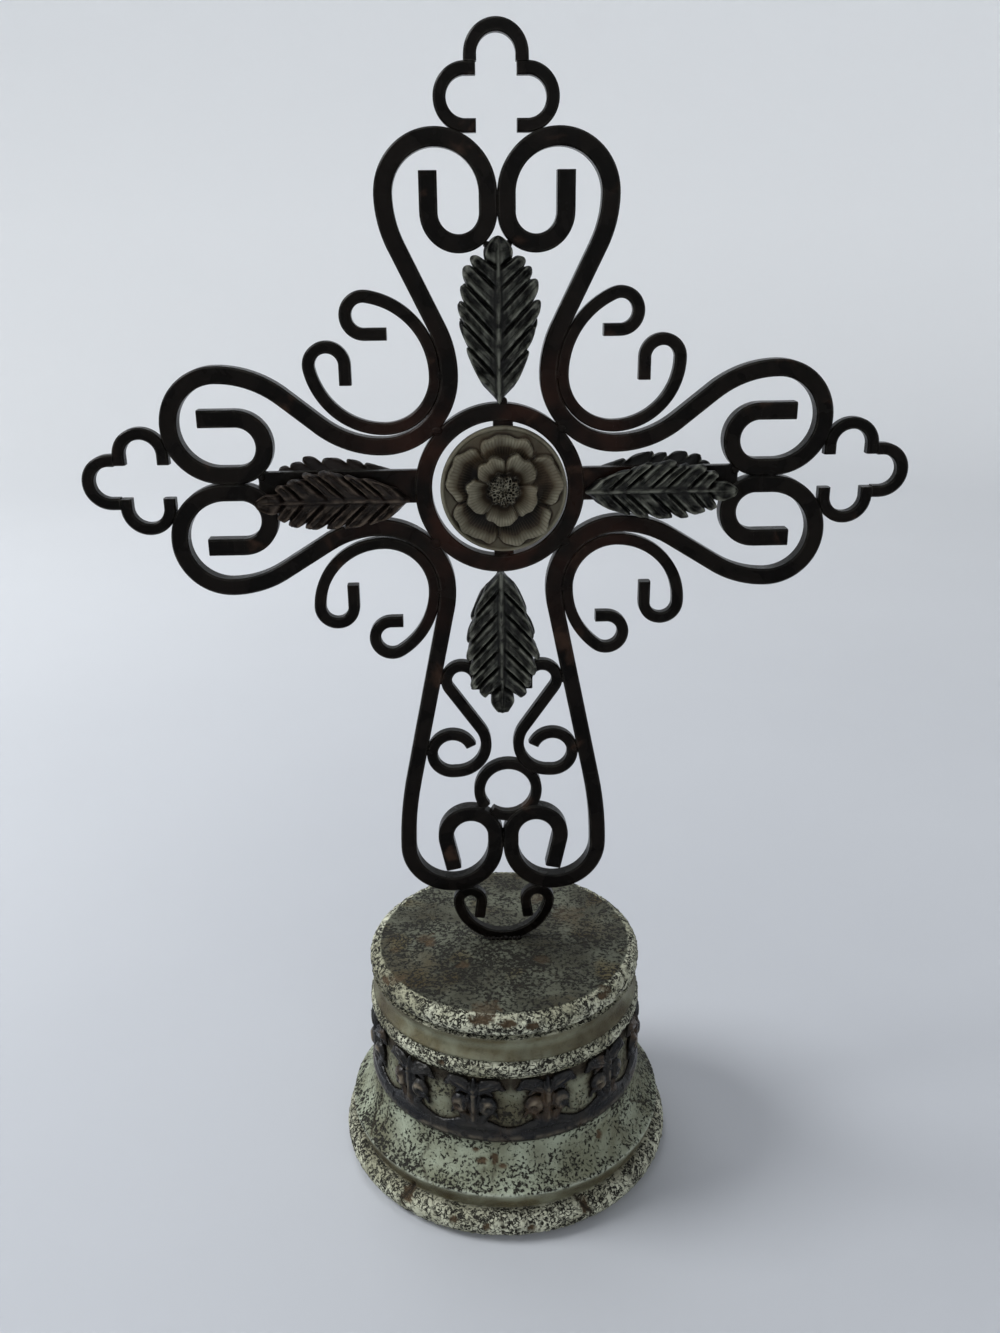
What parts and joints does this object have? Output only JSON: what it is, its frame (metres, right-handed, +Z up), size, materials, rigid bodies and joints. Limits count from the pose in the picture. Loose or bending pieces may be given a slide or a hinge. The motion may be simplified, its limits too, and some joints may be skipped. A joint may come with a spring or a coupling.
{
  "type": "wrought iron cross",
  "caption": "Scrolled wrought iron table cross with cast leaves and a rose, on a round painted base with a pierced metal band.",
  "frame": {"origin": "centre of the base's underside", "axes": "+Z up, +X to the viewer's right, the front with the front leaves and rose faces -Y"},
  "size_m": [0.3014, 0.1404, 0.4391],
  "materials": {
    "iron": "dark oiled wrought bar, semi-gloss, brown where rubbed",
    "leaf_iron": "dark casting with grey-green dry-brushed ribs",
    "rose_metal": "pale grey-green dry-brushed casting over dark brown",
    "band_metal": "dark gunmetal with worn bronze edges",
    "base_paint": "crackled sage and cream paint, stained brown"
  },
  "bodies": {
    "root": {"base": "base_paint", "base_band": "band_metal", "foot_scroll": "iron", "centre_ring": "iron", "small_ring": "iron", "rose": "rose_metal", "rose_strap": "iron", "upper_left_scroll": "iron", "upper_right_scroll": "iron", "lower_left_scroll": "iron", "lower_right_scroll": "iron", "upper_left_curl": "iron", "upper_right_curl": "iron", "lower_left_curl": "iron", "lower_right_curl": "iron", "top_finial_crown": "iron", "top_finial_left": "iron", "top_finial_right": "iron", "left_finial_crown": "iron", "left_finial_left": "iron", "left_finial_right": "iron", "right_finial_crown": "iron", "right_finial_left": "iron", "right_finial_right": "iron", "left_s_scroll": "iron", "right_s_scroll": "iron", "left_strap": "iron", "right_strap": "iron", "top_leaf_front": "leaf_iron", "top_leaf_back": "leaf_iron", "left_leaf_front": "leaf_iron", "left_leaf_back": "leaf_iron", "right_leaf_front": "leaf_iron", "right_leaf_back": "leaf_iron", "bottom_leaf_front": "leaf_iron", "bottom_leaf_back": "leaf_iron"}
  },
  "joints": []
}
